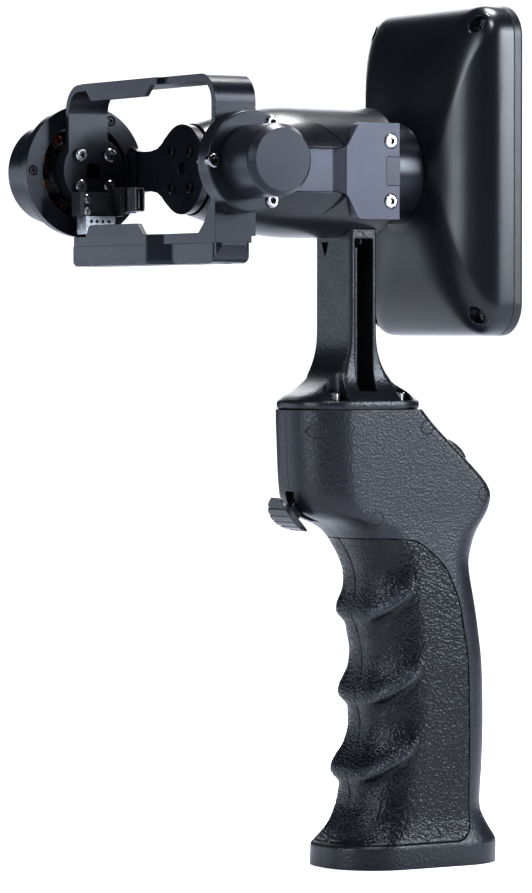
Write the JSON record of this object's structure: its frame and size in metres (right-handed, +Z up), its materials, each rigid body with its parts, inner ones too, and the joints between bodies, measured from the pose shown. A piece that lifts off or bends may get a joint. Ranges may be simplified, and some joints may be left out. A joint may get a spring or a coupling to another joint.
{
  "type": "handheld camera gimbal stabilizer",
  "caption": "Pistol-grip camera stabilizer: rubber-padded grip, trigger, thumb stick, motorised roll and tilt head, open camera cradle, swivelling rear monitor.",
  "frame": {"origin": "centre of the grip's foot, on the face it stands on, where the tripod thread is", "axes": "+Z up along the grip; +X to the left of the person holding it; +Y towards that person, so the camera looks along -Y"},
  "size_m": [0.1329, 0.1397, 0.2541],
  "materials": {
    "housing_plastic": "fine spark-textured moulded plastic",
    "grip_rubber": "leather-grain moulded rubber",
    "monitor_plastic": "satin moulded plastic",
    "bezel_plastic": "fine satin",
    "black_anodised": "satin black anodised",
    "bracket_anodised": "bead-blasted, grey-black anodised",
    "neck_paint": "semi-gloss paint over a cast surface",
    "housing_paint": "satin paint",
    "stainless": "bright",
    "bright_steel": "ground",
    "bearing_steel": "polished",
    "copper_wire": "enamelled copper wire",
    "lamination": "stacked sheet",
    "magnet": "nickel plated",
    "brass": "turned",
    "pcb": "solder mask",
    "cell_wrap": "shrink wrap",
    "white_nylon": "natural nylon",
    "black_plastic": "satin",
    "socket_tin": "tin-plated sheet",
    "screen_glass": "gloss",
    "black_oxide": "black oxide",
    "lcd": "polariser",
    "trigger_plastic": "ribbed satin",
    "stick_rubber": "soft"
  },
  "bodies": {
    "handle": {"grip_shell_left": "housing_plastic", "grip_shell_right": "housing_plastic", "grip_pad_left": "grip_rubber", "grip_pad_right": "grip_rubber", "screw_plugs": "housing_plastic", "housing_screws": "bright_steel", "base_cap": "black_plastic", "tripod_bush": "brass", "battery_tube": "white_nylon", "battery_cells": "cell_wrap", "battery_contacts": "bright_steel", "control_board": "pcb", "trigger_pin": "bright_steel", "trigger_switch": "pcb", "trigger_spring": "bright_steel", "joystick_base": "black_plastic", "neck_column": "neck_paint", "neck_screws": "stainless", "roll_housing": "housing_paint", "side_bracket_left": "bracket_anodised", "side_bracket_right": "bracket_anodised", "bracket_screws": "stainless", "roll_stator": "lamination", "roll_windings": "copper_wire", "roll_motor_mount": "black_anodised", "roll_bearings": "bearing_steel", "motor_driver_board": "pcb", "monitor_hub": "black_anodised"},
    "trigger_lever": {"trigger": "trigger_plastic"},
    "stick_yoke": {"joystick_yoke": "white_nylon"},
    "thumb_stick": {"joystick_stick": "bright_steel", "joystick_cap": "stick_rubber"},
    "roll_frame": {"roll_rotor": "bright_steel", "roll_magnets": "magnet", "roll_arm": "black_anodised", "roll_arm_screws": "black_oxide", "pitch_motor_can": "black_anodised", "pitch_stator": "lamination", "pitch_windings": "copper_wire", "pitch_bearings": "bearing_steel"},
    "cradle": {"pitch_rotor": "black_anodised", "pitch_magnets": "magnet", "cradle_frame": "black_anodised", "cradle_screws": "stainless", "cradle_tray": "black_anodised", "cradle_small_screws": "stainless", "imu_board": "pcb", "counterweight_flange": "black_anodised", "counterweight_pot": "black_anodised", "connector_holder": "black_plastic", "usb_plug": "socket_tin", "av_socket": "socket_tin"},
    "monitor": {"monitor_rear_shell": "monitor_plastic", "monitor_bezel": "bezel_plastic", "screen_window": "screen_glass", "lcd_panel": "lcd", "display_board": "pcb", "monitor_screws": "bright_steel", "swivel_shaft": "bright_steel", "swivel_washers": "bright_steel"}
  },
  "joints": [
    {"name": "trigger_pull", "type": "hinge", "parent": "handle", "child": "trigger_lever", "pos_m": [0, -0.033, 0.116], "axis": [1, 0, 0], "range_deg": [0, 10], "stiffness_Nm_per_rad": 0.08, "deforming": ["trigger_spring"]},
    {"name": "stick_up_down", "type": "hinge", "parent": "handle", "child": "stick_yoke", "pos_m": [0, 0.01008, 0.11538], "axis": [1, 0, 0], "range_deg": [-12, 12], "stiffness_Nm_per_rad": 0.01},
    {"name": "stick_left_right", "type": "hinge", "parent": "stick_yoke", "child": "thumb_stick", "pos_m": [0, 0.01008, 0.11538], "axis": [0, 0.7071, -0.7071], "range_deg": [-12, 12], "stiffness_Nm_per_rad": 0.01},
    {"name": "roll", "type": "hinge", "parent": "handle", "child": "roll_frame", "pos_m": [0, -0.075, 0.205], "axis": [0, 1, 0], "range_deg": [-45, 45]},
    {"name": "pitch", "type": "hinge", "parent": "roll_frame", "child": "cradle", "pos_m": [0, -0.0915, 0.205], "axis": [1, 0, 0], "range_deg": [-35, 24]},
    {"name": "monitor_swivel", "type": "hinge", "parent": "handle", "child": "monitor", "pos_m": [0, 0, 0.205], "axis": [0, 1, 0], "range_deg": [-90, 90]}
  ]
}
